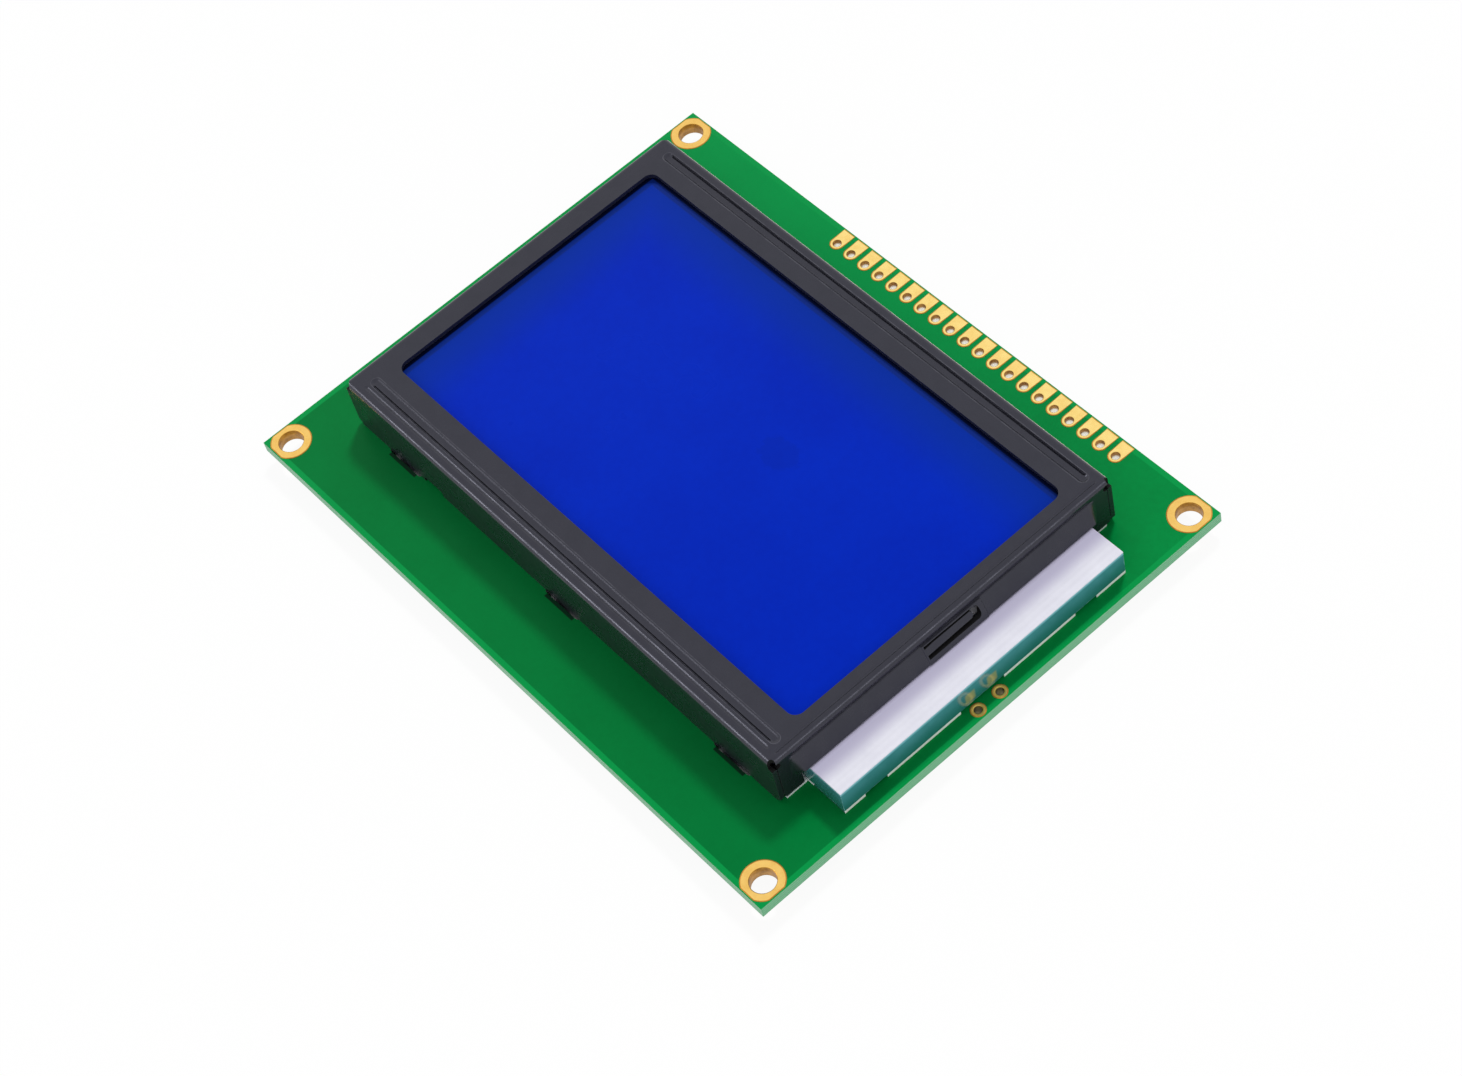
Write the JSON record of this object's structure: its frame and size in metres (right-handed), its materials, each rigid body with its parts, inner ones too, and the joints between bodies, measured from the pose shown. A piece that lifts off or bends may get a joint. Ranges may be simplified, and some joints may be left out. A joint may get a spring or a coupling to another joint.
{
  "type": "graphic lcd module",
  "caption": "Flat rectangular display module with a blue graphic panel in a folded black metal bezel on a green board with plated header and corner holes.",
  "frame": {"origin": "centre of the four corner mounting holes, on the board's back face", "axes": "+X along the board's long side towards the end where the light guide sticks out, +Y towards the header edge, +Z out of the display face"},
  "size_m": [0.093, 0.07, 0.0115],
  "materials": {
    "board_laminate": "green solder resist over glass laminate, glossy",
    "gold_plate": "gold flash over nickel, satin",
    "bezel_paint": "black paint, semi-gloss, lightly dusty",
    "display_film": "deep blue film, smooth",
    "display_glass": "clear soda glass",
    "rear_film": "dark neutral film, smooth",
    "sealant": "cured clear sealant",
    "contact_rubber": "pink silicone with dark carbon layers",
    "white_plastic": "white moulded plastic, matt",
    "clear_acrylic": "clear acrylic with polished sides",
    "white_film": "white film, matt",
    "white_strip": "white coated laminate",
    "lamp_body": "white housing with yellow phosphor",
    "black_epoxy": "cast black epoxy, glossy and slightly uneven",
    "black_ceramic": "black glazed ceramic with tinned ends",
    "tan_ceramic": "tan ceramic with tinned ends",
    "black_moulding": "black moulding compound, matt",
    "tinned_lead": "tinned copper alloy"
  },
  "bodies": {
    "root": {"circuit_board": "board_laminate", "mounting_pad_1": "gold_plate", "mounting_pad_2": "gold_plate", "mounting_pad_3": "gold_plate", "mounting_pad_4": "gold_plate", "header_pad_01": "gold_plate", "header_pad_02": "gold_plate", "header_pad_03": "gold_plate", "header_pad_04": "gold_plate", "header_pad_05": "gold_plate", "header_pad_06": "gold_plate", "header_pad_07": "gold_plate", "header_pad_08": "gold_plate", "header_pad_09": "gold_plate", "header_pad_10": "gold_plate", "header_pad_11": "gold_plate", "header_pad_12": "gold_plate", "header_pad_13": "gold_plate", "header_pad_14": "gold_plate", "header_pad_15": "gold_plate", "header_pad_16": "gold_plate", "header_pad_17": "gold_plate", "header_pad_18": "gold_plate", "header_pad_19": "gold_plate", "header_pad_20": "gold_plate", "lamp_pad_anode": "gold_plate", "lamp_pad_cathode": "gold_plate", "bezel": "bezel_paint", "front_polariser": "display_film", "front_glass": "display_glass", "rear_glass": "display_glass", "rear_polariser": "rear_film", "fill_port_seal": "sealant", "contact_strip_front": "contact_rubber", "contact_strip_back": "contact_rubber", "backlight_frame": "white_plastic", "light_guide": "clear_acrylic", "cover_film": "white_film", "diffuser_sheet": "white_film", "prism_sheet": "white_film", "reflector_sheet": "white_film", "lamp_strip_board": "white_strip", "lamps": "lamp_body", "chip_cover_1": "black_epoxy", "chip_cover_2": "black_epoxy", "chip_cover_3": "black_epoxy", "resistors": "black_ceramic", "capacitors": "tan_ceramic", "converter_chip": "black_moulding", "converter_leads": "tinned_lead"}
  },
  "joints": []
}
